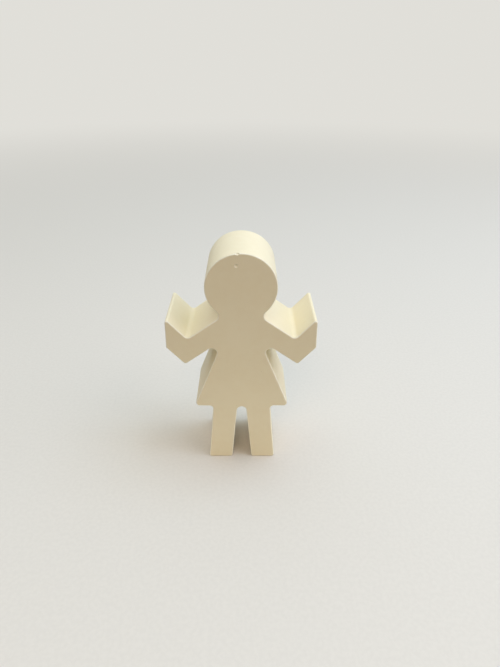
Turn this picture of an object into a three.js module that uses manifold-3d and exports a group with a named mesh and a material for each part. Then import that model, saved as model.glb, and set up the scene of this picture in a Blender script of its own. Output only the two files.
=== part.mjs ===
import * as THREE from 'three';
import { mergeVertices } from 'three/addons/utils/BufferGeometryUtils.js';
import Module from 'manifold-3d';

const wasm = await Module();
wasm.setup();

// A small standing figure of a girl: a thick, flat outline with soft edges.
// Millimetres. +Z is up, the front faces -Y, and the origin is on the ground
// under the middle of the figure.

// Whole figure
const FIGURE_HEIGHT = 74;
const FIGURE_DEPTH = 20;
const EDGE_ROUND = 0.35;

// Head and neck
const HEAD_RADIUS = 10.5;
const NECK_FILLET = 1.8;

// Arms: each drops from the shoulder and turns up at the elbow
const UPPER_ARM_WIDTH = 6.6;
const FOREARM_WIDTH = 6.85;
const UPPER_ARM_SLOPE = 36;
const FOREARM_RISE = 48;
const ELBOW_OUT = 16.73;
const ELBOW_BELOW_CROWN = 31.58;
const HAND_OUT = 22.6;
const HAND_LEAN = 1;
const ELBOW_INNER_FILLET = 1.4;
const ELBOW_OUTER_ROUND = 0.9;
const HAND_TIP_ROUND = 0.65;
const HAND_CORNER_ROUND = 0.7;
const ARMPIT_FILLET = 1.6;

// Dress
const HEM_HEIGHT = 21.85;
const HEM_HALF_WIDTH = 15.22;
const ARMPIT_OUT = 5.55;
const HEM_CORNER_ROUND = 1.2;
const HIP_FILLET = 1.2;

// Legs
const FOOT_CENTRE_OUT = 7.15;
const LEG_WIDTH = 7.8;
const LEG_SPLAY = 4.9;
const CROTCH_BELOW_HEM = 0.4;
const FOOT_ROUND = 0.8;

// Small marks of the moulding on the head
const PIT_RADIUS = 0.58;
const PIT_DEPTH = 0.45;
const PIT_OUT = -1.3;
const PIT_BELOW_CROWN = 3.6;
const NICK_RADIUS = 0.7;
const NICK_DEPTH = 0.5;
const NICK_OUT = -1;
const DIP_RADIUS = 1;
const DIP_DEPTH = 0.1;
const DIP_OUT = -0.7;

// Hollow shell and its back cover
const WALL = 2;
const BACK_LIP = 1;
const COVER_THICKNESS = 2;
const COVER_GAP = 0.15;
const COVER_EDGE_ROUND = 0.2;

// Bosses in the shell and pegs on the cover
const BOSS_RADIUS = 2.6;
const BOSS_END_GAP = 0.3;
const PEG_RADIUS = 1.3;
const PEG_LENGTH = 8;
const PEG_TIP_CHAMFER = 0.4;
const PEG_CLEARANCE = 0.15;
const SOCKET_SPARE_DEPTH = 1;
const CHEST_PEG_BELOW_CROWN = 28;
const DRESS_PEG_OUT = 6.5;
const DRESS_PEG_ABOVE_HEM = 6.15;

// Fineness of the faceted arcs
const CHORD_ERROR = 0.015;
const RIM_STEPS = 3;
const COVER_RIM_STEPS = 1;
const PEG_SIDES = 24;
const MARK_SIDES = 16;
const TIGHTEST_ROUND = 0.3;
const CUT_PAST = 1;
const SUNK_ROOT = 0.5;

const IVORY = 0xf1ead0;

const FRONT = -FIGURE_DEPTH / 2;
const BACK = FIGURE_DEPTH / 2;
const COVER_SEAT = BACK - COVER_THICKNESS;
const FRONT_WALL_INSIDE = FRONT + WALL;
const HEAD_HEIGHT = FIGURE_HEIGHT - HEAD_RADIUS;
const ELBOW_HEIGHT = FIGURE_HEIGHT - ELBOW_BELOW_CROWN;
const CROTCH_HEIGHT = HEM_HEIGHT - CROTCH_BELOW_HEM;
const DRESS_PEG_HEIGHT = HEM_HEIGHT + DRESS_PEG_ABOVE_HEM;

const PEG_PLACES = [
  { out: 0, height: HEAD_HEIGHT },
  { out: 0, height: FIGURE_HEIGHT - CHEST_PEG_BELOW_CROWN },
  { out: -DRESS_PEG_OUT, height: DRESS_PEG_HEIGHT },
  { out: DRESS_PEG_OUT, height: DRESS_PEG_HEIGHT },
];

// An outline is drawn as x across and y up, then stood up so that y becomes
// height and the drawing's own depth runs towards the front of the figure.
const STAND_UP = new THREE.Matrix4().set(1, 0, 0, 0, 0, 0, -1, 0, 0, 1, 0, 0, 0, 0, 0, 1);

function heading(degrees) {
  const angle = THREE.MathUtils.degToRad(degrees);
  return new THREE.Vector2(Math.cos(angle), Math.sin(angle));
}

function leftOf(direction) {
  return new THREE.Vector2(-direction.y, direction.x);
}

function along(start, direction, distance) {
  return start.clone().addScaledVector(direction, distance);
}

// A straight stretch of the outline, walked with the body on its left.
function straight(point, degrees, inset) {
  const direction = heading(degrees);
  return { point: along(point, leftOf(direction), inset), direction };
}

function degreesTowards(from, to) {
  return THREE.MathUtils.radToDeg(to.clone().sub(from).angle());
}

function meeting(first, second) {
  const between = second.point.clone().sub(first.point);
  const travel = between.cross(second.direction) / first.direction.cross(second.direction);
  return along(first.point, first.direction, travel);
}

function arc(centre, radius, startAngle, sweep) {
  const stepAngle = 2 * Math.acos(1 - CHORD_ERROR / radius);
  const steps = Math.max(2, Math.ceil(Math.abs(sweep) / stepAngle));
  const points = [];
  for (let step = 0; step <= steps; step += 1) {
    const angle = startAngle + (sweep * step) / steps;
    points.push(new THREE.Vector2(centre.x + radius * Math.cos(angle), centre.y + radius * Math.sin(angle)));
  }
  return points;
}

function shortestTurn(fromAngle, toAngle) {
  return Math.atan2(Math.sin(toAngle - fromAngle), Math.cos(toAngle - fromAngle));
}

// An inset makes outward corners tighter and inward corners wider.
function roundedCorner(before, after, radius, inset) {
  const turn = Math.sign(before.direction.cross(after.direction));
  const insetRadius = Math.max(radius - turn * inset, TIGHTEST_ROUND);
  const sweep = Math.acos(before.direction.dot(after.direction));
  const setback = insetRadius * Math.tan(sweep / 2);
  const start = along(meeting(before, after), before.direction, -setback);
  const centre = along(start, leftOf(before.direction), turn * insetRadius);
  const startAngle = start.clone().sub(centre).angle();
  return arc(centre, insetRadius, startAngle, turn * sweep);
}

// The neck's fillet touches the top of the arm and the round of the head, and
// runs on into the head as far as the crown.
function neckAndHead(armTop, inset) {
  const filletRadius = NECK_FILLET + inset;
  const headRadius = HEAD_RADIUS - inset;
  const headCentre = new THREE.Vector2(0, HEAD_HEIGHT);
  const rail = along(armTop.point, leftOf(armTop.direction), -filletRadius);
  const fromHead = rail.clone().sub(headCentre);
  const towards = fromHead.dot(armTop.direction);
  const reach = towards ** 2 - fromHead.lengthSq() + (headRadius + filletRadius) ** 2;
  const centre = along(rail, armTop.direction, -towards - Math.sqrt(reach));
  const startAngle = leftOf(armTop.direction).angle();
  const headAngle = centre.clone().sub(headCentre).angle();
  const endAngle = headAngle + Math.PI;
  const fillet = arc(centre, filletRadius, startAngle, shortestTurn(startAngle, endAngle));
  const head = arc(headCentre, headRadius, headAngle, shortestTurn(headAngle, Math.PI / 2));
  return [...fillet, ...head];
}

// The gap between the legs ends in a full round that touches both inner sides.
function crotch(inset) {
  const splay = THREE.MathUtils.degToRad(LEG_SPLAY);
  const halfGap = FOOT_CENTRE_OUT - LEG_WIDTH / 2;
  const radius = (halfGap * Math.cos(splay) - CROTCH_HEIGHT * Math.sin(splay)) / (1 - Math.sin(splay));
  const centre = new THREE.Vector2(0, CROTCH_HEIGHT - radius);
  return arc(centre, radius + inset, Math.PI / 2, splay - Math.PI / 2);
}

// The side of the dress runs from the corner of the hem to the armpit, so it
// reaches the arm at the same width of chest wherever the arm is.
function rightHalf(inset) {
  const elbow = new THREE.Vector2(ELBOW_OUT, ELBOW_HEIGHT);
  const foot = (side) => new THREE.Vector2(FOOT_CENTRE_OUT + (side * LEG_WIDTH) / 2, 0);
  const besideUpper = (side) => along(elbow, leftOf(heading(-UPPER_ARM_SLOPE)), (side * UPPER_ARM_WIDTH) / 2);
  const besideForearm = (side) => along(elbow, leftOf(heading(FOREARM_RISE)), (side * FOREARM_WIDTH) / 2);
  const hemCorner = new THREE.Vector2(HEM_HALF_WIDTH, HEM_HEIGHT);
  const legInside = straight(foot(-1), LEG_SPLAY - 90, inset);
  const sole = straight(foot(0), 0, inset);
  const legOutside = straight(foot(1), LEG_SPLAY + 90, inset);
  const hem = straight(hemCorner, 0, inset);
  const underArm = straight(besideUpper(-1), -UPPER_ARM_SLOPE, inset);
  const bareUnderArm = straight(besideUpper(-1), -UPPER_ARM_SLOPE, 0);
  const armpit = meeting(bareUnderArm, straight(new THREE.Vector2(ARMPIT_OUT, 0), 90, 0));
  const dressSide = straight(hemCorner, degreesTowards(hemCorner, armpit), inset);
  const forearmOutside = straight(besideForearm(-1), FOREARM_RISE, inset);
  const handEnd = straight(new THREE.Vector2(HAND_OUT, ELBOW_HEIGHT + FOREARM_WIDTH), HAND_LEAN + 90, inset);
  const forearmInside = straight(besideForearm(1), FOREARM_RISE + 180, inset);
  const armTop = straight(besideUpper(1), 180 - UPPER_ARM_SLOPE, inset);
  return [
    ...crotch(inset),
    ...roundedCorner(legInside, sole, FOOT_ROUND, inset),
    ...roundedCorner(sole, legOutside, FOOT_ROUND, inset),
    ...roundedCorner(legOutside, hem, HIP_FILLET, inset),
    ...roundedCorner(hem, dressSide, HEM_CORNER_ROUND, inset),
    ...roundedCorner(dressSide, underArm, ARMPIT_FILLET, inset),
    ...roundedCorner(underArm, forearmOutside, ELBOW_OUTER_ROUND, inset),
    ...roundedCorner(forearmOutside, handEnd, HAND_CORNER_ROUND, inset),
    ...roundedCorner(handEnd, forearmInside, HAND_TIP_ROUND, inset),
    ...roundedCorner(forearmInside, armTop, ELBOW_INNER_FILLET, inset),
    ...neckAndHead(armTop, inset),
  ];
}

// The whole outline: the right half, and its mirror image without the two
// points on the middle line, which both halves share.
function figureOutline(inset) {
  const right = rightHalf(inset);
  const left = right.slice(1, -1).reverse().map((point) => new THREE.Vector2(-point.x, point.y));
  return new THREE.Shape([...right, ...left]);
}

function toSolid(geometry) {
  const plain = geometry.clone();
  plain.deleteAttribute('normal');
  plain.deleteAttribute('uv');
  const merged = mergeVertices(plain);
  const mesh = new wasm.Mesh({
    numProp: 3,
    vertProperties: Float32Array.from(merged.attributes.position.array),
    triVerts: Uint32Array.from(merged.index.array),
  });
  return new wasm.Manifold(mesh);
}

function toGeometry(solid) {
  const mesh = solid.getMesh();
  const geometry = new THREE.BufferGeometry();
  geometry.setAttribute('position', new THREE.BufferAttribute(mesh.vertProperties, 3));
  geometry.setIndex(new THREE.BufferAttribute(mesh.triVerts, 1));
  geometry.computeVertexNormals();
  return geometry;
}

// A slab of the outline between two depths, with its edges rounded if asked.
function slab(inset, frontDepth, backDepth, round, roundSteps) {
  const geometry = new THREE.ExtrudeGeometry(figureOutline(inset), {
    depth: backDepth - frontDepth - 2 * round,
    steps: 1,
    bevelEnabled: round > 0,
    bevelSize: round,
    bevelOffset: -round,
    bevelThickness: round,
    bevelSegments: roundSteps,
  });
  geometry.translate(0, 0, round - backDepth);
  geometry.applyMatrix4(STAND_UP);
  return toSolid(geometry);
}

// A round bar along the depth of the figure.
function bar(radius, frontDepth, backDepth, out, height, sides) {
  const geometry = new THREE.CylinderGeometry(radius, radius, backDepth - frontDepth, sides);
  geometry.translate(out, (frontDepth + backDepth) / 2, height);
  return toSolid(geometry);
}

function ball(radius, out, depth, height) {
  const geometry = new THREE.SphereGeometry(radius, MARK_SIDES, MARK_SIDES / 2);
  geometry.translate(out, depth, height);
  return toSolid(geometry);
}

function shellBosses() {
  const bossFront = FRONT_WALL_INSIDE - SUNK_ROOT;
  const bossBack = COVER_SEAT - BOSS_END_GAP;
  const socketFront = COVER_SEAT - PEG_LENGTH - SOCKET_SPARE_DEPTH;
  return PEG_PLACES.map(({ out, height }) => {
    const boss = bar(BOSS_RADIUS, bossFront, bossBack, out, height, PEG_SIDES);
    const socket = bar(PEG_RADIUS + PEG_CLEARANCE, socketFront, BACK, out, height, PEG_SIDES);
    return boss.subtract(socket);
  });
}

// The pinhole on the forehead, the nick in the front rim of the crown and the
// slight dip in its rear rim.
function headMarks() {
  const crownAt = (out) => HEAD_HEIGHT + Math.sqrt(HEAD_RADIUS ** 2 - out ** 2);
  const nickHeight = crownAt(NICK_OUT) + NICK_RADIUS - NICK_DEPTH;
  const dipHeight = crownAt(DIP_OUT) + DIP_RADIUS - DIP_DEPTH;
  const pit = ball(PIT_RADIUS, PIT_OUT, FRONT - PIT_RADIUS + PIT_DEPTH, FIGURE_HEIGHT - PIT_BELOW_CROWN);
  const nick = ball(NICK_RADIUS, NICK_OUT, FRONT, nickHeight);
  const dip = ball(DIP_RADIUS, DIP_OUT, BACK, dipHeight);
  return [pit, nick, dip];
}

function frontShell() {
  const outside = slab(0, FRONT, BACK, EDGE_ROUND, RIM_STEPS);
  const hollow = slab(WALL, FRONT_WALL_INSIDE, BACK + CUT_PAST, 0, 0);
  const rebate = slab(BACK_LIP, COVER_SEAT, BACK + CUT_PAST, 0, 0);
  let shell = outside.subtract(hollow).subtract(rebate);
  for (const boss of shellBosses()) {
    shell = shell.add(boss);
  }
  for (const mark of headMarks()) {
    shell = shell.subtract(mark);
  }
  return toGeometry(shell);
}

function peg({ out, height }) {
  const root = -SUNK_ROOT;
  const shoulder = PEG_LENGTH - PEG_TIP_CHAMFER;
  const profile = [
    new THREE.Vector2(0, root),
    new THREE.Vector2(PEG_RADIUS, root),
    new THREE.Vector2(PEG_RADIUS, shoulder),
    new THREE.Vector2(PEG_RADIUS - PEG_TIP_CHAMFER, PEG_LENGTH),
    new THREE.Vector2(0, PEG_LENGTH),
  ];
  const geometry = new THREE.LatheGeometry(profile, PEG_SIDES);
  geometry.rotateX(Math.PI);
  geometry.translate(out, COVER_SEAT, height);
  return toSolid(geometry);
}

function backCover() {
  let cover = slab(BACK_LIP + COVER_GAP, COVER_SEAT, BACK, COVER_EDGE_ROUND, COVER_RIM_STEPS);
  for (const place of PEG_PLACES) {
    cover = cover.add(peg(place));
  }
  return toGeometry(cover);
}

function piece(name, geometry) {
  const material = new THREE.MeshStandardMaterial({ color: IVORY, roughness: 0.5, metalness: 0 });
  const mesh = new THREE.Mesh(geometry, material);
  mesh.name = name;
  return mesh;
}

const figurine = new THREE.Group();
figurine.add(piece('front_shell', frontShell()));
figurine.add(piece('back_cover', backCover()));

export default figurine;
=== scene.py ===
"""A small ivory figurine of a girl: its shell and back cover, their finishes, and a studio to show it in.

Metres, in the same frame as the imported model: +Z is up, the front faces -Y, and the origin is on the
ground under the middle of the figure.
"""

import logging
import math
from dataclasses import dataclass, field, replace
from enum import Enum

import bmesh
import bpy
from mathutils import Matrix, Vector


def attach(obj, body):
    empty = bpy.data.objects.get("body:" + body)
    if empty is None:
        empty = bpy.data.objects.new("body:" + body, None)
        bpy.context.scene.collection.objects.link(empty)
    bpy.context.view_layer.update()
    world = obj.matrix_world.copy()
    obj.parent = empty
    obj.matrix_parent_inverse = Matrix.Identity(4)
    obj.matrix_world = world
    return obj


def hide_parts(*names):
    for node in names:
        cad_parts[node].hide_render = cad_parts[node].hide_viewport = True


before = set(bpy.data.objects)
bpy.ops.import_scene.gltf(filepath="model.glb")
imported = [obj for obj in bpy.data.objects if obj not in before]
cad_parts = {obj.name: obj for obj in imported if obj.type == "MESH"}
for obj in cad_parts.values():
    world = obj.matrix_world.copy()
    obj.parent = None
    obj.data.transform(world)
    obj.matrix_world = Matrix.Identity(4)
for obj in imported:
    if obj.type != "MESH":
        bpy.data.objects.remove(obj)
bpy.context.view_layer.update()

log = logging.getLogger("figurine")

MM = 0.001

# Points closer than this count as one
NEAR = 0.0001 * MM
WELD = 0.001 * MM

# The socket types of node groups
FLOAT = "NodeSocketFloat"
COLOUR = "NodeSocketColor"
VECTOR = "NodeSocketVector"

Colour = tuple[float, float, float]
Span = tuple[float, float]


class Joining(Enum):
    """How one solid is put together with another."""

    ADD = "UNION"
    CUT = "DIFFERENCE"


class Rim(Enum):
    """Which flat side of a slab has its edge rounded."""

    FRONT = "front"
    BACK = "back"
    BOTH = "both"


# Small helpers around the modelling operators


def deselect_all() -> None:
    """Leaves edit mode and deselects every object."""
    if bpy.context.object is not None and bpy.context.object.mode != "OBJECT":
        bpy.ops.object.mode_set(mode="OBJECT")
    bpy.ops.object.select_all(action="DESELECT")


def take_up(piece: bpy.types.Object) -> None:
    """Makes a piece the only one selected, and the active one.

    Args:
        piece: The object to work on next.
    """
    deselect_all()
    piece.select_set(True)
    bpy.context.view_layer.objects.active = piece


def settle(name: str) -> bpy.types.Object:
    """Names the new active object and puts its place into its mesh.

    Args:
        name: The object's name, which its mesh gets too.

    Returns:
        The object, at the origin, unturned and unscaled.
    """
    piece = bpy.context.object
    piece.name = name
    piece.data.name = name
    bpy.ops.object.transform_apply(location=True, rotation=True, scale=True)
    return piece


def join_solids(body: bpy.types.Object, tool: bpy.types.Object, how: Joining) -> None:
    """Adds a solid to a body or cuts it out, and removes the solid.

    Args:
        body: The piece that stays.
        tool: The solid that is used up.
        how: Whether the solid is added or cut out.
    """
    take_up(body)
    modifier = body.modifiers.new("join", "BOOLEAN")
    modifier.operation = how.value
    modifier.solver = "EXACT"
    modifier.object = tool
    bpy.ops.object.modifier_apply(modifier=modifier.name)
    bpy.data.objects.remove(tool)


def smooth_skin(piece: bpy.types.Object, crease: float) -> None:
    """Shades a piece smooth but for its creases, with its flat faces kept flat.

    Args:
        piece: The finished mesh.
        crease: The angle in degrees from which an edge stays sharp.
    """
    take_up(piece)
    bpy.ops.object.shade_smooth_by_angle(angle=math.radians(crease))
    modifier = piece.modifiers.new("flats", "WEIGHTED_NORMAL")
    modifier.keep_sharp = True
    modifier.weight = 100
    bpy.ops.object.modifier_apply(modifier=modifier.name)


# The outline


@dataclass(frozen=True)
class Stretch:
    """A straight stretch of the outline, walked with the body on its left; x is across and y is height."""

    point: Vector
    direction: Vector

    def left(self) -> Vector:
        """The direction into the body."""
        return Vector((-self.direction.y, self.direction.x))

    def meeting(self, other: "Stretch") -> Vector:
        """The point where this stretch, made longer, crosses another.

        Args:
            other: The other stretch.

        Returns:
            The crossing point.
        """
        between = other.point - self.point
        travel = between.cross(other.direction) / self.direction.cross(other.direction)
        return self.point + self.direction * travel


@dataclass(frozen=True)
class Bend:
    """An arc of the outline: its start, its centre and its sweep, which is counter-clockwise above zero."""

    start: Vector
    centre: Vector
    sweep: float


def heading(degrees: float) -> Vector:
    """The unit direction at an angle.

    Args:
        degrees: The angle from straight across to the right.

    Returns:
        The direction.
    """
    return Vector((math.cos(math.radians(degrees)), math.sin(math.radians(degrees))))


def stretch(point: Vector, degrees: float, inset: float) -> Stretch:
    """A straight stretch through a point, moved into the body.

    Args:
        point: A point that the uninset stretch passes through.
        degrees: Its heading.
        inset: How far it is moved into the body.

    Returns:
        The stretch.
    """
    bare = Stretch(point, heading(degrees))
    return Stretch(point + bare.left() * inset, bare.direction)


def shortest_turn(before: float, after: float) -> float:
    """The smaller of the two turns from one angle to another.

    Args:
        before: The first angle in radians.
        after: The second one.

    Returns:
        The turn in radians, counter-clockwise above zero.
    """
    return math.atan2(math.sin(after - before), math.cos(after - before))


def angle_of(arm: Vector) -> float:
    """The angle of a direction.

    Args:
        arm: The direction.

    Returns:
        Its angle from straight across to the right, in radians.
    """
    return math.atan2(arm.y, arm.x)


@dataclass(frozen=True)
class FigureOutline:
    """The outline of the girl, with every size that shapes it, in metres and degrees."""

    figure_height: float = 74 * MM
    head_radius: float = 10.5 * MM
    neck_fillet: float = 1.8 * MM
    upper_arm_width: float = 6.6 * MM
    forearm_width: float = 6.85 * MM
    upper_arm_slope: float = 36
    forearm_rise: float = 48
    elbow_out: float = 16.73 * MM
    elbow_below_crown: float = 31.58 * MM
    hand_out: float = 22.6 * MM
    hand_lean: float = 1
    elbow_inner_fillet: float = 1.4 * MM
    elbow_outer_round: float = 0.9 * MM
    hand_tip_round: float = 0.65 * MM
    hand_corner_round: float = 0.7 * MM
    armpit_out: float = 5.55 * MM
    armpit_fillet: float = 1.6 * MM
    hem_height: float = 21.85 * MM
    hem_half_width: float = 15.22 * MM
    hem_corner_round: float = 1.2 * MM
    hip_fillet: float = 1.2 * MM
    foot_centre_out: float = 7.15 * MM
    leg_width: float = 7.8 * MM
    leg_splay: float = 4.9
    crotch_below_hem: float = 0.4 * MM
    foot_round: float = 0.8 * MM
    tightest_round: float = 0.3 * MM
    arc_step: float = 5
    head_step: float = 2.5

    def head_height(self) -> float:
        """The height of the middle of the head."""
        return self.figure_height - self.head_radius

    def corner(self, before: Stretch, after: Stretch, radius: float, inset: float) -> Bend:
        """The arc that rounds the corner between two stretches.

        Args:
            before: The stretch that leads in.
            after: The stretch that leads out.
            radius: The arc's radius without the inset.
            inset: How far the outline is inset.

        Returns:
            The arc, tighter at outward corners and wider at inward ones.
        """
        turn = math.copysign(1, before.direction.cross(after.direction))
        inset_radius = max(radius - turn * inset, self.tightest_round)
        sweep = math.acos(before.direction.dot(after.direction))
        start = before.meeting(after) - before.direction * (inset_radius * math.tan(sweep / 2))
        return Bend(start, start + before.left() * (turn * inset_radius), turn * sweep)

    def neck(self, arm_top: Stretch, inset: float) -> Bend:
        """The fillet that touches the top of the arm and the round of the head.

        Args:
            arm_top: The top of the upper arm, already inset.
            inset: How far the outline is inset.

        Returns:
            The neck's arc.
        """
        radius = self.neck_fillet + inset
        head = Vector((0, self.head_height()))
        rail = arm_top.point - arm_top.left() * radius
        towards = (rail - head).dot(arm_top.direction)
        reach = towards**2 - (rail - head).length_squared + (self.head_radius + self.neck_fillet) ** 2
        centre = rail + arm_top.direction * (-towards - math.sqrt(reach))
        start = centre + arm_top.left() * radius
        sweep = shortest_turn(angle_of(arm_top.left()), angle_of(head - centre))
        return Bend(start, centre, sweep)

    def head(self, neck: Bend) -> Bend:
        """The round of the head, from the end of the neck's arc to the crown.

        Args:
            neck: The neck's arc.

        Returns:
            The head's arc.
        """
        head = Vector((0, self.head_height()))
        radius = (neck.centre - head).length - (neck.start - neck.centre).length
        start = head + (neck.centre - head).normalized() * radius
        return Bend(start, head, shortest_turn(angle_of(start - head), math.pi / 2))

    def crotch(self, inset: float) -> Bend:
        """The full round that ends the gap between the legs and touches both inner sides.

        Args:
            inset: How far the outline is inset.

        Returns:
            The right half of the round, from the middle line down.
        """
        splay = math.radians(self.leg_splay)
        half_gap = self.foot_centre_out - self.leg_width / 2
        top = self.hem_height - self.crotch_below_hem
        radius = (half_gap * math.cos(splay) - top * math.sin(splay)) / (1 - math.sin(splay))
        centre = Vector((0, top - radius))
        return Bend(centre + Vector((0, radius + inset)), centre, splay - math.pi / 2)

    def right_half(self, inset: float) -> list[Bend]:
        """Every bend of the right half, from the crotch round to the crown.

        Args:
            inset: How far the outline is inset.

        Returns:
            The bends in order; straight lines join them.
        """
        elbow = Vector((self.elbow_out, self.figure_height - self.elbow_below_crown))
        hem_corner = Vector((self.hem_half_width, self.hem_height))
        slope, rise = self.upper_arm_slope, self.forearm_rise

        def beside_upper(side: float) -> Vector:
            """A point on the upper (1) or lower (-1) side of the upper arm, at the elbow."""
            return elbow + Stretch(elbow, heading(-slope)).left() * (side * self.upper_arm_width / 2)

        def beside_forearm(side: float) -> Vector:
            """A point on the inner (1) or outer (-1) side of the forearm, at the elbow."""
            return elbow + Stretch(elbow, heading(rise)).left() * (side * self.forearm_width / 2)

        def foot(side: float) -> Vector:
            """The inner corner (-1), the middle (0) or the outer corner (1) of the sole."""
            return Vector((self.foot_centre_out + side * self.leg_width / 2, 0))

        chest = Stretch(Vector((self.armpit_out, 0)), heading(90))
        armpit = Stretch(beside_upper(-1), heading(-slope)).meeting(chest)
        flare = math.degrees(angle_of(armpit - hem_corner))
        hand = Vector((self.hand_out, elbow.y + self.forearm_width))

        leg_inside = stretch(foot(-1), self.leg_splay - 90, inset)
        sole = stretch(foot(0), 0, inset)
        leg_outside = stretch(foot(1), self.leg_splay + 90, inset)
        hem = stretch(hem_corner, 0, inset)
        dress_side = stretch(hem_corner, flare, inset)
        under_arm = stretch(beside_upper(-1), -slope, inset)
        forearm_outside = stretch(beside_forearm(-1), rise, inset)
        hand_end = stretch(hand, self.hand_lean + 90, inset)
        forearm_inside = stretch(beside_forearm(1), rise + 180, inset)
        arm_top = stretch(beside_upper(1), 180 - slope, inset)
        neck = self.neck(arm_top, inset)
        return [
            self.crotch(inset),
            self.corner(leg_inside, sole, self.foot_round, inset),
            self.corner(sole, leg_outside, self.foot_round, inset),
            self.corner(leg_outside, hem, self.hip_fillet, inset),
            self.corner(hem, dress_side, self.hem_corner_round, inset),
            self.corner(dress_side, under_arm, self.armpit_fillet, inset),
            self.corner(under_arm, forearm_outside, self.elbow_outer_round, inset),
            self.corner(forearm_outside, hand_end, self.hand_corner_round, inset),
            self.corner(hand_end, forearm_inside, self.hand_tip_round, inset),
            self.corner(forearm_inside, arm_top, self.elbow_inner_fillet, inset),
            neck,
            self.head(neck),
        ]

    def draw(self, name: str, inset: float, depth: float) -> bpy.types.Object:
        """Draws the whole outline as a flat face that looks to the front or the back.

        Args:
            name: The new object's name.
            inset: How far the outline is inset.
            depth: Where the face lies along Y.

        Returns:
            The object, in object mode.
        """
        bends = self.right_half(inset)
        pen = Pen(name, depth, bends[0].start)
        for bend in bends:
            step = self.head_step if bend is bends[-1] else self.arc_step
            pen.line_to(bend.start)
            pen.turn(bend, step)
        drawn = pen.lift()
        mirror = drawn.modifiers.new("other half", "MIRROR")
        mirror.use_mirror_merge = True
        mirror.merge_threshold = WELD
        bpy.ops.object.modifier_apply(modifier=mirror.name)
        bpy.ops.object.mode_set(mode="EDIT")
        bpy.ops.mesh.select_all(action="SELECT")
        bpy.ops.mesh.remove_doubles(threshold=WELD)
        bpy.ops.mesh.edge_face_add()
        bpy.ops.object.mode_set(mode="OBJECT")
        return drawn

    def slab(self, name: str, inset: float, front: float, back: float) -> bpy.types.Object:
        """A slab of the outline between two depths, with square edges.

        Args:
            name: The new object's name.
            inset: How far the outline is inset.
            front: Where the slab starts along Y.
            back: Where it ends.

        Returns:
            The closed slab.
        """
        solid = self.draw(name, inset, front)
        bpy.ops.object.mode_set(mode="EDIT")
        bpy.ops.mesh.select_all(action="SELECT")
        bpy.ops.mesh.extrude_region_move(TRANSFORM_OT_translate={"value": (0, back - front, 0)})
        bpy.ops.mesh.select_all(action="SELECT")
        bpy.ops.mesh.normals_make_consistent(inside=False)
        bpy.ops.object.mode_set(mode="OBJECT")
        return solid


class Pen:
    """Draws a line of edges with the edit-mode tools; its tip is the one selected vertex."""

    def __init__(self, name: str, depth: float, start: Vector) -> None:
        """Puts the pen down.

        Args:
            name: The new object's name.
            depth: Where the drawing lies along Y.
            start: The first point, across and up.
        """
        deselect_all()
        bpy.ops.mesh.primitive_plane_add(size=MM, location=(start.x, depth, start.y))
        self.drawn = settle(name)
        bpy.ops.object.mode_set(mode="EDIT")
        bpy.ops.mesh.select_mode(type="VERT")
        bpy.ops.mesh.select_all(action="SELECT")
        bpy.ops.mesh.merge(type="CENTER")
        self.depth = depth
        self.tip = start.copy()

    def line_to(self, goal: Vector) -> None:
        """Draws a straight line.

        Args:
            goal: The point where it ends.
        """
        move = goal - self.tip
        if move.length > NEAR:
            bpy.ops.mesh.extrude_region_move(TRANSFORM_OT_translate={"value": (move.x, 0, move.y)})
            self.tip = goal.copy()

    def turn(self, bend: Bend, step: float) -> None:
        """Draws an arc.

        Args:
            bend: The arc, which starts at the pen's tip.
            step: The most that one edge may turn, in degrees.
        """
        steps = max(2, math.ceil(abs(math.degrees(bend.sweep)) / step))
        centre = (bend.centre.x, self.depth, bend.centre.y)
        bpy.ops.mesh.spin(steps=steps, angle=bend.sweep, center=centre, axis=(0, 1, 0))
        self.tip = bend.centre + Matrix.Rotation(bend.sweep, 2) @ (bend.start - bend.centre)

    def lift(self) -> bpy.types.Object:
        """Leaves edit mode and returns the drawing."""
        bpy.ops.object.mode_set(mode="OBJECT")
        return self.drawn


def round_rims(solid: bpy.types.Object, rim: Rim, radius: float, segments: int) -> None:
    """Rounds the edge round the flat front or back of a slab.

    Args:
        solid: The slab, which has no other faces that look along Y.
        rim: Which side is rounded.
        radius: The radius of the round.
        segments: How many faces make up the round.
    """
    take_up(solid)
    ys = [corner[1] for corner in solid.bound_box]
    planes = {Rim.FRONT: [min(ys)], Rim.BACK: [max(ys)], Rim.BOTH: [min(ys), max(ys)]}[rim]
    bpy.ops.object.mode_set(mode="EDIT")
    bpy.ops.mesh.select_mode(type="EDGE")
    bpy.ops.mesh.select_all(action="DESELECT")
    mesh = bmesh.from_edit_mesh(solid.data)
    for edge in mesh.edges:
        flat = any(all(abs(end.co.y - plane) < NEAR for end in edge.verts) for plane in planes)
        edge.select_set(flat)
    bmesh.update_edit_mesh(solid.data)
    bpy.ops.mesh.bevel(offset=radius, segments=segments, profile=0.5, affect="EDGES", clamp_overlap=False)
    bpy.ops.object.mode_set(mode="OBJECT")


def bar(name: str, radius: float, front: float, back: float, place: Vector, sides: int) -> bpy.types.Object:
    """A round bar along the depth of the figure.

    Args:
        name: The new object's name.
        radius: The bar's radius.
        front: Where it starts along Y.
        back: Where it ends.
        place: Its middle line, across and up.
        sides: How many sides it has.

    Returns:
        The bar.
    """
    deselect_all()
    bpy.ops.mesh.primitive_cylinder_add(
        vertices=sides,
        radius=radius,
        depth=back - front,
        location=(place.x, (front + back) / 2, place.y),
        rotation=(math.pi / 2, 0, 0),
    )
    return settle(name)


def ball(name: str, radius: float, place: Vector, sides: int) -> bpy.types.Object:
    """A ball that cuts a round hollow.

    Args:
        name: The new object's name.
        radius: The ball's radius.
        place: Its centre.
        sides: How many sides go round it.

    Returns:
        The ball.
    """
    deselect_all()
    bpy.ops.mesh.primitive_uv_sphere_add(segments=sides, ring_count=sides // 2, radius=radius, location=place)
    return settle(name)


# The two pieces


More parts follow.
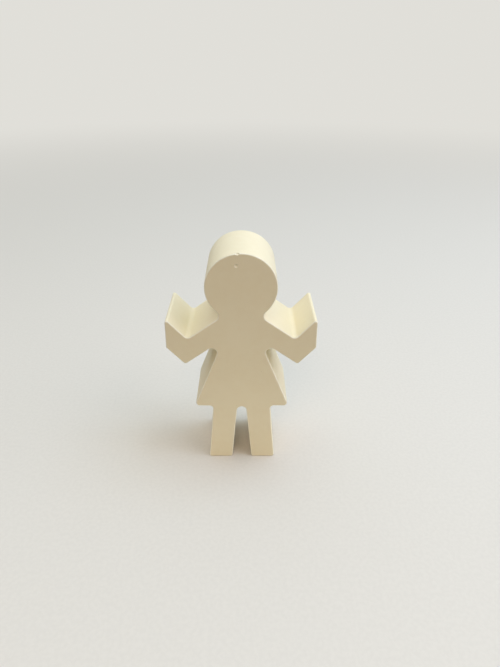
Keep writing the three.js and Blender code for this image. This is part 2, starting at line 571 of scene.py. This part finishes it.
@dataclass
class Fastening:
    """The four bosses in the shell and the pegs on the cover that press into them."""

    boss_radius: float = 2.6 * MM
    boss_end_gap: float = 0.3 * MM
    peg_radius: float = 1.3 * MM
    peg_length: float = 8 * MM
    peg_tip_chamfer: float = 0.4 * MM
    peg_clearance: float = 0.15 * MM
    socket_spare_depth: float = 1 * MM
    chest_peg_below_crown: float = 28 * MM
    dress_peg_out: float = 6.5 * MM
    dress_peg_above_hem: float = 6.15 * MM
    sides: int = 48

    def places(self, outline: FigureOutline) -> list[Vector]:
        """Where the pegs are, across and up.

        Args:
            outline: The figure's outline.

        Returns:
            The head's, the chest's and the dress's two places.
        """
        dress = outline.hem_height + self.dress_peg_above_hem
        return [
            Vector((0, outline.head_height())),
            Vector((0, outline.figure_height - self.chest_peg_below_crown)),
            Vector((-self.dress_peg_out, dress)),
            Vector((self.dress_peg_out, dress)),
        ]


@dataclass
class HeadMarks:
    """The pinhole on the forehead, the nick in the crown's front rim and the slight dip in its rear rim."""

    pit_radius: float = 0.58 * MM
    pit_depth: float = 0.45 * MM
    pit_out: float = -1.3 * MM
    pit_below_crown: float = 3.6 * MM
    nick_radius: float = 0.7 * MM
    nick_depth: float = 0.5 * MM
    nick_out: float = -1 * MM
    dip_radius: float = 1 * MM
    dip_depth: float = 0.1 * MM
    dip_out: float = -0.7 * MM
    sides: int = 32

    def pit_centre(self, outline: FigureOutline, front: float) -> Vector:
        """The middle of the ball that cuts the pinhole.

        Args:
            outline: The figure's outline.
            front: The figure's front face along Y.

        Returns:
            The point.
        """
        height = outline.figure_height - self.pit_below_crown
        return Vector((self.pit_out, front - self.pit_radius + self.pit_depth, height))

    def tools(self, outline: FigureOutline, front: float, back: float) -> list[bpy.types.Object]:
        """The solids that cut the marks.

        Args:
            outline: The figure's outline.
            front: The figure's front face along Y.
            back: Its back along Y.

        Returns:
            The pinhole's, the nick's and the dip's solids.
        """

        def crown_at(out: float) -> float:
            """The height of the head's round at a distance from the middle line."""
            return outline.head_height() + math.sqrt(outline.head_radius**2 - out**2)

        pit = self.pit_centre(outline, front)
        nick = Vector((self.nick_out, front, crown_at(self.nick_out) + self.nick_radius - self.nick_depth))
        dip = Vector((self.dip_out, back, crown_at(self.dip_out) + self.dip_radius - self.dip_depth))
        return [
            ball("pinhole_tool", self.pit_radius, pit, self.sides),
            ball("nick_tool", self.nick_radius, nick, self.sides),
            ball("dip_tool", self.dip_radius, dip, self.sides),
        ]


@dataclass
class FrontShell:
    """The hollow moulding that is the front, the sides and the soles."""

    outline: FigureOutline
    fastening: Fastening
    marks: HeadMarks = field(default_factory=HeadMarks)
    depth: float = 20 * MM
    edge_round: float = 0.35 * MM
    wall: float = 2 * MM
    back_lip: float = 1 * MM
    cover_thickness: float = 2 * MM
    cut_past: float = 1 * MM
    rim_segments: int = 8
    sunk_root: float = 0.5 * MM
    crease: float = 40

    def front(self) -> float:
        """Where the front face lies along Y."""
        return -self.depth / 2

    def back(self) -> float:
        """Where the back lies along Y."""
        return self.depth / 2

    def cover_seat(self) -> float:
        """Where the ledge lies that the cover rests on."""
        return self.back() - self.cover_thickness

    def bosses(self) -> list[bpy.types.Object]:
        """The bosses with their sockets, rooted in the front wall."""
        made = []
        socket_front = self.cover_seat() - self.fastening.peg_length - self.fastening.socket_spare_depth
        socket_radius = self.fastening.peg_radius + self.fastening.peg_clearance
        root = self.front() + self.wall - self.sunk_root
        end = self.cover_seat() - self.fastening.boss_end_gap
        for place in self.fastening.places(self.outline):
            boss = bar("boss", self.fastening.boss_radius, root, end, place, self.fastening.sides)
            socket = bar("socket", socket_radius, socket_front, self.back(), place, self.fastening.sides)
            join_solids(boss, socket, Joining.CUT)
            made.append(boss)
        return made

    def build(self) -> bpy.types.Object:
        """Models the shell.

        Returns:
            The finished mesh object.
        """
        past = self.back() + self.cut_past
        shell = self.outline.slab("girl_front_shell", 0, self.front(), self.back())
        round_rims(shell, Rim.BOTH, self.edge_round, self.rim_segments)
        hollow = self.outline.slab("hollow", self.wall, self.front() + self.wall, past)
        join_solids(shell, hollow, Joining.CUT)
        rebate = self.outline.slab("rebate", self.back_lip, self.cover_seat(), past)
        join_solids(shell, rebate, Joining.CUT)
        for boss in self.bosses():
            join_solids(shell, boss, Joining.ADD)
        for tool in self.marks.tools(self.outline, self.front(), self.back()):
            join_solids(shell, tool, Joining.CUT)
        smooth_skin(shell, self.crease)
        return shell


@dataclass
class BackCover:
    """The plate that closes the back, with its four pegs."""

    shell: FrontShell
    gap: float = 0.15 * MM
    edge_round: float = 0.2 * MM
    rim_segments: int = 4
    sunk_root: float = 0.5 * MM
    crease: float = 40

    def pegs(self) -> list[bpy.types.Object]:
        """The pegs, with chamfered tips."""
        made = []
        fastening = self.shell.fastening
        tip = self.shell.cover_seat() - fastening.peg_length
        for place in fastening.places(self.shell.outline):
            root = self.shell.cover_seat() + self.sunk_root
            peg = bar("peg", fastening.peg_radius, tip, root, place, fastening.sides)
            round_rims(peg, Rim.FRONT, fastening.peg_tip_chamfer, 1)
            made.append(peg)
        return made

    def build(self) -> bpy.types.Object:
        """Models the cover.

        Returns:
            The finished mesh object.
        """
        inset = self.shell.back_lip + self.gap
        cover = self.shell.outline.slab("girl_back_cover", inset, self.shell.cover_seat(), self.shell.back())
        round_rims(cover, Rim.BACK, self.edge_round, self.rim_segments)
        for peg in self.pegs():
            join_solids(cover, peg, Joining.ADD)
        smooth_skin(cover, self.crease)
        return cover


# Finishes


@dataclass(frozen=True)
class Noise:
    """A noise: its features to the metre, its finer layers and how strong those are."""

    scale: float
    detail: float
    roughness: float = 0.5


class NodeBoard:
    """A node tree with short ways to add and wire its nodes."""

    def __init__(self, tree: bpy.types.NodeTree) -> None:
        """Takes up a node tree.

        Args:
            tree: The tree to add nodes to.
        """
        self.tree = tree

    def add(self, kind: str, **settings: object) -> bpy.types.Node:
        """Adds a node.

        Args:
            kind: The node's type name.
            **settings: Properties of the node by name.

        Returns:
            The node.
        """
        node = self.tree.nodes.new(kind)
        for name, value in settings.items():
            setattr(node, name, value)
        return node

    def wire(self, source: bpy.types.NodeSocket, goal: bpy.types.NodeSocket) -> None:
        """Links two sockets.

        Args:
            source: The output.
            goal: The input.
        """
        self.tree.links.new(source, goal)

    def feed(self, value: object, goal: bpy.types.NodeSocket) -> None:
        """Sets an input or wires an output to it.

        Args:
            value: A number, a colour or an output socket.
            goal: The input.
        """
        if isinstance(value, bpy.types.NodeSocket):
            self.wire(value, goal)
        else:
            goal.default_value = value

    def maths(self, operation: str, *values: object, clamp: bool = False) -> bpy.types.NodeSocket:
        """Adds a Math node.

        Args:
            operation: The node's operation.
            *values: Its inputs, each a number or an output socket.
            clamp: Whether its result stays between 0 and 1.

        Returns:
            The node's output.
        """
        node = self.add("ShaderNodeMath", operation=operation, use_clamp=clamp)
        for place, value in enumerate(values):
            self.feed(value, node.inputs[place])
        return node.outputs[0]

    def split(self, vector: bpy.types.NodeSocket) -> bpy.types.NodeOutputs:
        """Adds a Separate XYZ node.

        Args:
            vector: The vector to take apart.

        Returns:
            Its parts, by the names X, Y and Z.
        """
        node = self.add("ShaderNodeSeparateXYZ")
        self.wire(vector, node.inputs[0])
        return node.outputs

    def spread(self, value: object, span: Span, ends: Span = (0, 1)) -> bpy.types.NodeSocket:
        """Adds a smooth Map Range node.

        Args:
            value: The number to spread.
            span: The values that give the first and the second end.
            ends: The two results.

        Returns:
            The node's output.
        """
        node = self.add("ShaderNodeMapRange", interpolation_type="SMOOTHSTEP")
        for place, item in enumerate((value, *span, *ends)):
            self.feed(item, node.inputs[place])
        return node.outputs[0]

    def noise(self, place: bpy.types.NodeSocket, noise: Noise) -> bpy.types.NodeSocket:
        """Adds a Noise Texture node.

        Args:
            place: The coordinates.
            noise: Its size and layers.

        Returns:
            The noise, about 0.5 in the middle.
        """
        node = self.add("ShaderNodeTexNoise")
        self.wire(place, node.inputs["Vector"])
        node.inputs["Scale"].default_value = noise.scale
        node.inputs["Detail"].default_value = noise.detail
        node.inputs["Roughness"].default_value = noise.roughness
        return node.outputs["Fac"]

    def blend(self, share: object, below: object, above: object) -> bpy.types.NodeSocket:
        """Adds a colour Mix node.

        Args:
            share: How much of the second colour shows.
            below: The first colour, an output socket or a plain colour.
            above: The second colour, likewise.

        Returns:
            The mixed colour.
        """
        node = self.add("ShaderNodeMix", data_type="RGBA")
        self.feed(share, node.inputs[0])
        for goal, colour in ((node.inputs[6], below), (node.inputs[7], above)):
            self.feed((*colour, 1) if isinstance(colour, tuple) else colour, goal)
        return node.outputs[2]


def new_group(name: str, inputs: dict[str, str], outputs: dict[str, str]) -> tuple[NodeBoard, dict, dict]:
    """Starts a shader node group.

    Args:
        name: The group's name.
        inputs: The type name of each input socket.
        outputs: The type name of each output socket.

    Returns:
        The board, the sockets that bring the inputs in, and the sockets that take the outputs.
    """
    tree = bpy.data.node_groups.new(name, "ShaderNodeTree")
    for label, kind in inputs.items():
        tree.interface.new_socket(label, in_out="INPUT", socket_type=kind)
    for label, kind in outputs.items():
        tree.interface.new_socket(label, in_out="OUTPUT", socket_type=kind)
    board = NodeBoard(tree)
    brought = board.add("NodeGroupInput").outputs
    taken = board.add("NodeGroupOutput").inputs
    return board, {label: brought[label] for label in inputs}, {label: taken[label] for label in outputs}


BROAD_CLOUDS = Noise(55, 3)
FINE_CLOUDS = Noise(420, 4, 0.6)
BROAD_SHARE = 0.6
CLOUD_EDGE = (0.38, 0.62)


def cloudy_tone() -> bpy.types.NodeTree:
    """Soft clouds of a second colour in the first, broad ones with finer ones in them."""
    board, given, out = new_group(
        "cloudy tone",
        {"Place": VECTOR, "Colour": COLOUR, "Clouded Colour": COLOUR, "Amount": FLOAT},
        {"Colour": COLOUR},
    )
    broad = board.maths("MULTIPLY", board.noise(given["Place"], BROAD_CLOUDS), BROAD_SHARE)
    fine = board.maths("MULTIPLY", board.noise(given["Place"], FINE_CLOUDS), 1 - BROAD_SHARE)
    both = board.spread(board.maths("ADD", broad, fine), CLOUD_EDGE)
    share = board.maths("MULTIPLY", both, given["Amount"])
    board.wire(board.blend(share, given["Colour"], given["Clouded Colour"]), out["Colour"])
    return board.tree


# The rims are paler partly from wear and partly from a painted highlight
WEAR_PATCHES = Noise(700, 3, 0.6)
WEAR_EDGE = (0.35, 0.65)
TILT_OFF_SIDE = (0.05, 0.3)
TILT_INTO_FACE = (0.95, 0.999)


def rim_wear_and_highlight() -> bpy.types.NodeTree:
    """A mask over the rounded rims of a slab, broken up as handling leaves it; it carries both wear and a
    painted highlight.
    """
    board, given, out = new_group(
        "rim wear and highlight",
        {"Place": VECTOR, "Facing": VECTOR, "Half Depth": FLOAT, "Reach": FLOAT, "Patchiness": FLOAT},
        {"Mask": FLOAT},
    )
    depth = board.maths("ABSOLUTE", board.split(given["Place"])["Y"])
    inner = board.maths("SUBTRACT", given["Half Depth"], given["Reach"])
    near_rim = board.maths("DIVIDE", board.maths("SUBTRACT", depth, inner), given["Reach"], clamp=True)
    tilt = board.maths("ABSOLUTE", board.split(given["Facing"])["Y"])
    off_side = board.spread(tilt, TILT_OFF_SIDE)
    off_face = board.spread(tilt, TILT_INTO_FACE, (1, 0))
    rounded = board.maths("MULTIPLY", off_side, off_face)
    patches = board.spread(board.noise(given["Place"], WEAR_PATCHES), WEAR_EDGE)
    kept = board.maths("SUBTRACT", 1, board.maths("MULTIPLY", given["Patchiness"], patches))
    board.wire(board.maths("MULTIPLY", board.maths("MULTIPLY", near_rim, rounded), kept), out["Mask"])
    return board.tree


RUBBED_PATCHES = Noise(90, 4, 0.55)
RUBBED_EDGE = (0.35, 0.65)
HAIRS = Noise(5200, 1)
HAIR_EDGE = (0.705, 0.76)
HAIR_FIELDS = Noise(120, 2)
HAIR_FIELD_EDGE = (0.5, 0.62)
HAIR_TURNS_AND_LENGTHS = ((35, 40), (-62, 30))
SIDEWAYS_SHARE = 0.7
SPECK_CELLS = 640
SPECK_EDGE = (0.05, 0.09)
SPECK_CHOICE = (0.9, 0.93)


def handling_marks() -> bpy.types.NodeTree:
    """Rubbed patches, hairline scratches and a few specks of dust in the pores."""
    board, given, out = new_group(
        "handling marks",
        {"Place": VECTOR, "Rub": FLOAT, "Scratches": FLOAT, "Specks": FLOAT},
        {"Roughness Shift": FLOAT, "Scratch": FLOAT, "Speck": FLOAT},
    )
    rubbed = board.spread(board.noise(given["Place"], RUBBED_PATCHES), RUBBED_EDGE, (-1, 1))
    board.wire(board.maths("MULTIPLY", rubbed, given["Rub"]), out["Roughness Shift"])

    lines = []
    for degrees, length in HAIR_TURNS_AND_LENGTHS:
        turn = math.radians(degrees)
        mapping = board.add("ShaderNodeMapping")
        board.wire(given["Place"], mapping.inputs["Vector"])
        mapping.inputs["Rotation"].default_value = (turn, turn * SIDEWAYS_SHARE, turn)
        mapping.inputs["Scale"].default_value = (1, 1, 1 / length)
        lines.append(board.spread(board.noise(mapping.outputs[0], HAIRS), HAIR_EDGE))
    where = board.spread(board.noise(given["Place"], HAIR_FIELDS), HAIR_FIELD_EDGE)
    hairs = board.maths("MULTIPLY", board.maths("MAXIMUM", *lines), where)
    board.wire(board.maths("MULTIPLY", hairs, given["Scratches"]), out["Scratch"])

    cells = board.add("ShaderNodeTexVoronoi")
    board.wire(given["Place"], cells.inputs["Vector"])
    cells.inputs["Scale"].default_value = SPECK_CELLS
    chosen = board.add("ShaderNodeSeparateColor")
    board.wire(cells.outputs["Color"], chosen.inputs[0])
    small = board.spread(cells.outputs["Distance"], SPECK_EDGE, (1, 0))
    few = board.spread(chosen.outputs[0], SPECK_CHOICE)
    board.wire(board.maths("MULTIPLY", board.maths("MULTIPLY", small, few), given["Specks"]), out["Speck"])
    return board.tree


# Where the pinhole's painted shade and painted highlight begin, and how far the shade leans to the right
PINHOLE_EDGE = (1.02, 1.2)
PAINTED_SHADE_EDGE = (0.1, 0.6)
PAINTED_HIGHLIGHT_EDGE = (-0.5, -0.1)
PAINTED_SHADE_TO_RIGHT = 0.3


def pinhole_painted_light() -> bpy.types.NodeTree:
    """Masks for the wall of a pinhole: painted shade high up and to the right, and a painted highlight on the
    other side.
    """
    board, given, out = new_group(
        "pinhole painted light",
        {"Place": VECTOR, "Centre": VECTOR, "Reach": FLOAT},
        {"Painted Shade": FLOAT, "Painted Highlight": FLOAT},
    )
    offset = board.add("ShaderNodeVectorMath", operation="SUBTRACT")
    board.wire(given["Place"], offset.inputs[0])
    board.wire(given["Centre"], offset.inputs[1])
    away = board.add("ShaderNodeVectorMath", operation="LENGTH")
    board.wire(offset.outputs[0], away.inputs[0])
    radii_away = board.maths("DIVIDE", away.outputs["Value"], given["Reach"])
    inside = board.spread(radii_away, PINHOLE_EDGE, (1, 0))
    parts = board.split(offset.outputs[0])
    rightward = board.maths("MULTIPLY", parts["X"], PAINTED_SHADE_TO_RIGHT)
    side = board.maths("DIVIDE", board.maths("ADD", rightward, parts["Z"]), given["Reach"])
    board.wire(board.maths("MULTIPLY", inside, board.spread(side, PAINTED_SHADE_EDGE)), out["Painted Shade"])
    board.wire(board.maths("MULTIPLY", inside, board.spread(side, PAINTED_HIGHLIGHT_EDGE, (1, 0))), out["Painted Highlight"])
    return board.tree


SKIN_GRAIN = Noise(3600, 2, 0.6)
SKIN_WAVES = Noise(130, 1)
SCRATCH_DEPTH = 0.4


def moulded_skin() -> bpy.types.NodeTree:
    """The height of a satin moulded surface: a fine grain over a slow waviness."""
    board, given, out = new_group(
        "moulded skin",
        {"Place": VECTOR, "Grain": FLOAT, "Waves": FLOAT, "Scratch": FLOAT},
        {"Height": FLOAT},
    )
    grain = board.maths("MULTIPLY", board.noise(given["Place"], SKIN_GRAIN), given["Grain"])
    waves = board.maths("MULTIPLY", board.noise(given["Place"], SKIN_WAVES), given["Waves"])
    scratch = board.maths("MULTIPLY", given["Scratch"], SCRATCH_DEPTH)
    board.wire(board.maths("SUBTRACT", board.maths("ADD", grain, waves), scratch), out["Height"])
    return board.tree


def seen_rays(board: NodeBoard) -> bpy.types.NodeSocket:
    """A mask that is 1 where a surface is seen directly, in gloss or through glass.

    Args:
        board: The material's or the world's board.

    Returns:
        The mask.
    """
    rays = board.add("ShaderNodeLightPath").outputs
    direct = board.maths("ADD", rays["Is Camera Ray"], rays["Is Glossy Ray"], clamp=True)
    return board.maths("ADD", direct, rays["Is Transmission Ray"], clamp=True)


class SharedEffects:
    """The node groups that the finishes place in their materials, each built once."""

    def __init__(self) -> None:
        """Builds every group."""
        self.cloudy_tone = cloudy_tone()
        self.rim_wear_and_highlight = rim_wear_and_highlight()
        self.handling_marks = handling_marks()
        self.pinhole_painted_light = pinhole_painted_light()
        self.moulded_skin = moulded_skin()


@dataclass(frozen=True)
class IvoryPlastic:
    """Satin ivory plastic, softly clouded, a little paler and smoother on worn rims, the paler colour partly
    a painted highlight; painted shade and a painted highlight lie in the pinhole.
    """

    name: str
    half_depth: float
    pinhole: Vector
    pinhole_radius: float
    colour: Colour = (0.88, 0.82, 0.63)
    clouded: Colour = (0.845, 0.77, 0.57)
    # Paler colour on the rims, partly wear and partly a painted highlight; also the pinhole's painted
    # highlight
    worn_and_highlight: Colour = (0.99, 0.96, 0.85)
    # Dust in the specks; the same colour is the painted shade in the pinhole
    dust_and_shade: Colour = (0.36, 0.30, 0.22)
    clouds: float = 0.5
    wear: float = 1.0
    wear_reach: float = 0.9 * MM
    wear_patchiness: float = 0.3
    wear_polish: float = 0.1
    roughness: float = 0.6
    rub: float = 0.07
    scratches: float = 0.5
    scratch_roughness: float = 0.15
    specks: float = 0.25
    # How strong the pinhole's painted shade is
    pinhole_painted_shade: float = 0.2
    grain: float = 1.0
    waves: float = 6.0
    bump_height: float = 0.006 * MM
    light_bending: float = 1.49

    def build(self, effects: SharedEffects) -> bpy.types.Material:
        """Builds the material.

        Args:
            effects: The shared node groups.

        Returns:
            The material.
        """
        material = bpy.data.materials.new(self.name)
        material.use_nodes = True
        material.node_tree.nodes.clear()
        board = NodeBoard(material.node_tree)
        where = board.add("ShaderNodeTexCoord")

        def group(tree: bpy.types.NodeTree, **given: object) -> bpy.types.NodeOutputs:
            """Places a shared group, sets or wires its inputs by name, and returns its outputs."""
            node = board.add("ShaderNodeGroup", node_tree=tree)
            board.wire(where.outputs["Object"], node.inputs["Place"])
            for label, value in given.items():
                colour = (*value, 1) if label.endswith("Colour") else value
                board.feed(colour, node.inputs[label.replace("_", " ")])
            return node.outputs

        tone = group(effects.cloudy_tone, Colour=self.colour, Clouded_Colour=self.clouded, Amount=self.clouds)
        wear = group(
            effects.rim_wear_and_highlight,
            Facing=where.outputs["Normal"],
            Half_Depth=self.half_depth,
            Reach=self.wear_reach,
            Patchiness=self.wear_patchiness,
        )
        marks = group(effects.handling_marks, Rub=self.rub, Scratches=self.scratches, Specks=self.specks)
        # Painted shade high on the pinhole's wall and a painted highlight low on it
        pinhole = group(effects.pinhole_painted_light, Centre=self.pinhole, Reach=self.pinhole_radius)
        skin = group(effects.moulded_skin, Grain=self.grain, Waves=self.waves, Scratch=marks["Scratch"])

        # Paler rims: partly wear, partly a painted highlight
        worn_and_highlight_share = board.maths("MULTIPLY", wear["Mask"], self.wear)
        pinhole_shade_share = board.maths("MULTIPLY", pinhole["Painted Shade"], self.pinhole_painted_shade)
        colour = board.blend(worn_and_highlight_share, tone["Colour"], self.worn_and_highlight)
        colour = board.blend(marks["Speck"], colour, self.dust_and_shade)
        # Painted highlight low in the pinhole, then painted shade high in it
        colour = board.blend(pinhole["Painted Highlight"], colour, self.worn_and_highlight)
        colour = board.blend(pinhole_shade_share, colour, self.dust_and_shade)

        polish = board.maths("MULTIPLY", worn_and_highlight_share, self.wear_polish)
        scratched = board.maths("MULTIPLY", marks["Scratch"], self.scratch_roughness)
        rubbed = board.maths("ADD", marks["Roughness Shift"], self.roughness)
        roughness = board.maths("ADD", board.maths("SUBTRACT", rubbed, polish), scratched, clamp=True)

        bump = board.add("ShaderNodeBump")
        bump.inputs["Strength"].default_value = 1
        bump.inputs["Distance"].default_value = self.bump_height
        board.wire(skin["Height"], bump.inputs["Height"])

        shader = board.add("ShaderNodeBsdfPrincipled")
        shader.inputs["IOR"].default_value = self.light_bending
        board.wire(colour, shader.inputs["Base Color"])
        board.wire(roughness, shader.inputs["Roughness"])
        board.wire(bump.outputs[0], shader.inputs["Normal"])
        board.wire(shader.outputs[0], board.add("ShaderNodeOutputMaterial").inputs["Surface"])
        return material


# The cover's finish, where it differs from the shell's
COVER_CLOUDS = 0.6
COVER_ROUGHNESS = 0.63


# The studio


@dataclass(frozen=True)
class Lamp:
    """A soft square lamp that faces the figurine."""

    name: str
    place: tuple[float, float, float]
    size: float
    power: float
    colour: Colour

    def build(self, aim: Vector) -> None:
        """Hangs the lamp.

        Args:
            aim: The point that it faces.
        """
        deselect_all()
        bpy.ops.object.light_add(type="AREA", location=self.place)
        lamp = bpy.context.object
        lamp.name = self.name
        lamp.rotation_mode = "QUATERNION"
        lamp.rotation_quaternion = (aim - Vector(self.place)).to_track_quat("-Z", "Y")
        lamp.visible_camera = False
        lamp.data.size = self.size
        lamp.data.energy = self.power
        lamp.data.color = self.colour


@dataclass(frozen=True)
class Studio:
    """A pale floor that fades into a quiet pale room, and soft lamps."""

    lamps: tuple[Lamp, ...] = (
        Lamp("ceiling lamp", (0.0, 0.05, 0.9), 0.5, 1.07, (0.75, 1, 0.85)),
        Lamp("upper right lamp", (0.35, 0.05, 0.8), 0.5, 1.97, (0.58, 0.76, 1)),
        Lamp("front right lamp", (0.5, -0.3, 0.6), 0.4, 1.09, (1, 0.855, 0.807)),
        Lamp("right lamp", (0.75, 0.0, 0.2), 0.4, 1.3, (0.877, 0.923, 1)),
        Lamp("front lamp", (-0.1, -0.6, 0.7), 0.4, 1.84, (1, 0.748, 0.547)),
    )
    aim_height: float = 40 * MM
    floor_reach: float = 3
    fade: Span = (0.12, 0.9)
    paper_colour: Colour = (0.74, 0.725, 0.70)
    paper_roughness: float = 0.9
    paper_gloss: float = 0.1
    fibres: Noise = Noise(900, 2)
    fibre_edge: Span = (0.3, 0.7)
    fibre_shade: float = 0.97
    near_bounce: Colour = (0.82, 0.76, 0.63)
    far_bounce: Colour = (0.26, 0.24, 0.20)
    bounce_centre: tuple[float, float, float] = (0, -50 * MM, 0)
    bounce_reach: Span = (30 * MM, 100 * MM)
    room_colour: Colour = (0.75, 0.738, 0.695)
    rear_light: Colour = (1.044, 1.031, 0.987)
    front_light: Colour = (0, 0, 0)

    def floor(self) -> None:
        """Lays the floor."""
        deselect_all()
        bpy.ops.mesh.primitive_plane_add(size=2 * self.floor_reach)
        sheet = settle("studio_floor")
        sheet.data.materials.append(self.paper())

    def paper(self) -> bpy.types.Material:
        """The matt paper of the floor.

        Returns:
            A material that is pale where it is seen and fades into the room with distance. It throws back
            more light just in front of the figurine than elsewhere.
        """
        material = bpy.data.materials.new("studio paper")
        material.use_nodes = True
        material.node_tree.nodes.clear()
        board = NodeBoard(material.node_tree)
        place = board.add("ShaderNodeTexCoord").outputs["Object"]
        fibres = board.spread(board.noise(place, self.fibres), self.fibre_edge)
        darker = tuple(part * self.fibre_shade for part in self.paper_colour)
        pale = board.blend(fibres, self.paper_colour, darker)

        def distance(centre: tuple[float, float, float]) -> bpy.types.NodeSocket:
            """How far a place on the paper is from a point."""
            node = board.add("ShaderNodeVectorMath", operation="DISTANCE")
            board.wire(place, node.inputs[0])
            node.inputs[1].default_value = centre
            return node.outputs["Value"]

        near = board.spread(distance(self.bounce_centre), self.bounce_reach, (1, 0))
        bounce = board.blend(near, self.far_bounce, self.near_bounce)
        seen = seen_rays(board)
        shader = board.add("ShaderNodeBsdfPrincipled")
        board.wire(board.blend(seen, bounce, pale), shader.inputs["Base Color"])
        shader.inputs["Roughness"].default_value = self.paper_roughness
        shader.inputs["Specular IOR Level"].default_value = self.paper_gloss
        room = board.add("ShaderNodeEmission")
        room.inputs["Color"].default_value = (*self.room_colour, 1)
        faded = board.maths("MULTIPLY", seen, board.spread(distance((0, 0, 0)), self.fade))
        both = board.add("ShaderNodeMixShader")
        board.wire(faded, both.inputs[0])
        board.wire(shader.outputs[0], both.inputs[1])
        board.wire(room.outputs[0], both.inputs[2])
        board.wire(both.outputs[0], board.add("ShaderNodeOutputMaterial").inputs["Surface"])
        return material

    def room(self) -> None:
        """Makes the world: pale where it is seen, and as a light bright behind and dark in front."""
        world = bpy.data.worlds.new("quiet room")
        bpy.context.scene.world = world
        world.use_nodes = True
        world.node_tree.nodes.clear()
        board = NodeBoard(world.node_tree)
        background = board.add("ShaderNodeBackground")
        towards = board.split(board.add("ShaderNodeTexCoord").outputs["Generated"])
        # From -1 to 1 along Y becomes from 0 in front to 1 behind
        behind = board.maths("MULTIPLY_ADD", towards["Y"], 0.5, 0.5, clamp=True)
        light = board.blend(behind, self.front_light, self.rear_light)
        colour = board.blend(seen_rays(board), light, self.room_colour)
        board.wire(colour, background.inputs["Color"])
        board.wire(background.outputs[0], board.add("ShaderNodeOutputWorld").inputs["Surface"])

    def build(self) -> None:
        """Builds the floor, the room and the lamps."""
        self.floor()
        self.room()
        for lamp in self.lamps:
            lamp.build(Vector((0, 0, self.aim_height)))
        log.info("studio: %d lamps", len(self.lamps))


@dataclass
class PhotoCamera:
    """The camera at the photograph's viewing angle."""

    place: Vector = field(default_factory=lambda: Vector((1.431, -138.80, 123.31)) * MM)
    turn_right: float = 0.516
    look_down: float = 30.01
    roll: float = -0.268
    lens: float = 27.04
    nearest: float = 0.01
    farthest: float = 10

    def build(self) -> None:
        """Adds the camera and makes it the scene's."""
        turn, down, roll = (math.radians(angle) for angle in (self.turn_right, self.look_down, self.roll))
        ahead = Vector((math.sin(turn) * math.cos(down), math.cos(turn) * math.cos(down), -math.sin(down)))
        level_right = Vector((math.cos(turn), -math.sin(turn), 0))
        level_down = ahead.cross(level_right)
        right = level_right * math.cos(roll) + level_down * math.sin(roll)
        up = level_right * math.sin(roll) - level_down * math.cos(roll)
        deselect_all()
        bpy.ops.object.camera_add(location=self.place)
        camera = bpy.context.object
        camera.name = "photo camera"
        turned = Matrix((right, up, -ahead)).transposed().to_4x4()
        camera.matrix_world = Matrix.Translation(self.place) @ turned
        camera.data.lens = self.lens
        camera.data.clip_start = self.nearest
        camera.data.clip_end = self.farthest
        bpy.context.scene.camera = camera


def dress(piece: bpy.types.Object, node: str, material: bpy.types.Material) -> None:
    """Finishes a piece, and lets it ride on the figure in place of its CAD node.

    Args:
        piece: The modelled piece.
        node: The CAD node that it stands for.
        material: Its finish.
    """
    piece.data.materials.clear()
    piece.data.materials.append(material)
    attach(piece, "root")
    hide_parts(node)
    log.info("%s: %d faces, stands for %s", piece.name, len(piece.data.polygons), node)


def main() -> None:
    """Builds the figurine piece by piece, then the studio and the camera."""
    logging.basicConfig(level=logging.INFO, format="%(name)s: %(message)s")
    effects = SharedEffects()
    shell = FrontShell(FigureOutline(), Fastening())
    cover = BackCover(shell)
    pinhole = shell.marks.pit_centre(shell.outline, shell.front())
    plastic = IvoryPlastic("ivory shell plastic", shell.back(), pinhole, shell.marks.pit_radius)
    duller = replace(plastic, name="ivory cover plastic", clouds=COVER_CLOUDS, roughness=COVER_ROUGHNESS)
    dress(shell.build(), "front_shell", plastic.build(effects))
    dress(cover.build(), "back_cover", duller.build(effects))
    Studio().build()
    PhotoCamera().build()
    bpy.context.scene.view_settings.view_transform = "Standard"


if __name__ == "__main__":
    main()
